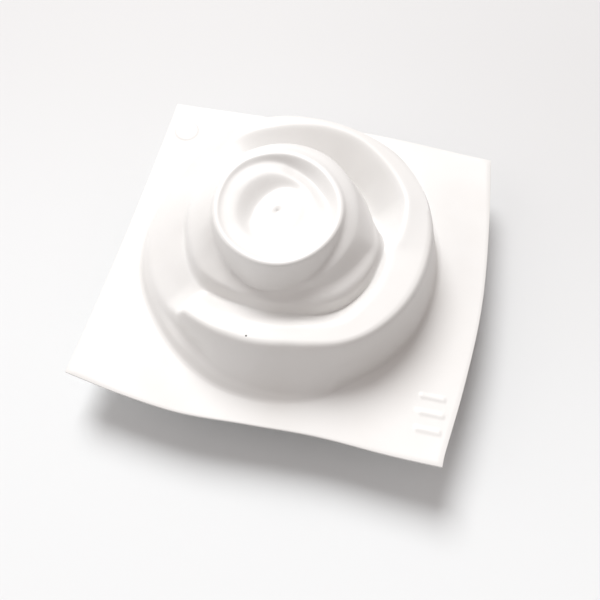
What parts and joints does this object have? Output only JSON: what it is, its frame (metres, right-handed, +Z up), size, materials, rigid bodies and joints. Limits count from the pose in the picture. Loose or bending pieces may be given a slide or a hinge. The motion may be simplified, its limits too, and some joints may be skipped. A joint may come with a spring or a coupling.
{
  "type": "resin casting mould",
  "caption": "Thin heat-formed plastic sheet mould with a hollow rose relief, turned over to cast resin, soap or wax in it.",
  "frame": {"origin": "middle of the sheet in plan, on the flat underside of the flange", "axes": "+Z up through the rose towards the bud, +X and +Y along the sheet's edges"},
  "size_m": [0.1054, 0.1014, 0.0264],
  "materials": {
    "sheet": "satin white"
  },
  "bodies": {
    "root": {"flange": "sheet", "bud_face": "sheet", "inner_petal_right": "sheet", "inner_petal_back": "sheet", "inner_petal_left": "sheet", "inner_petal_front": "sheet", "petal_valley_right": "sheet", "petal_valley_back": "sheet", "petal_valley_left": "sheet", "petal_valley_front": "sheet", "outer_petal_right": "sheet", "outer_petal_back": "sheet", "outer_petal_left": "sheet", "outer_petal_front": "sheet"}
  },
  "joints": []
}
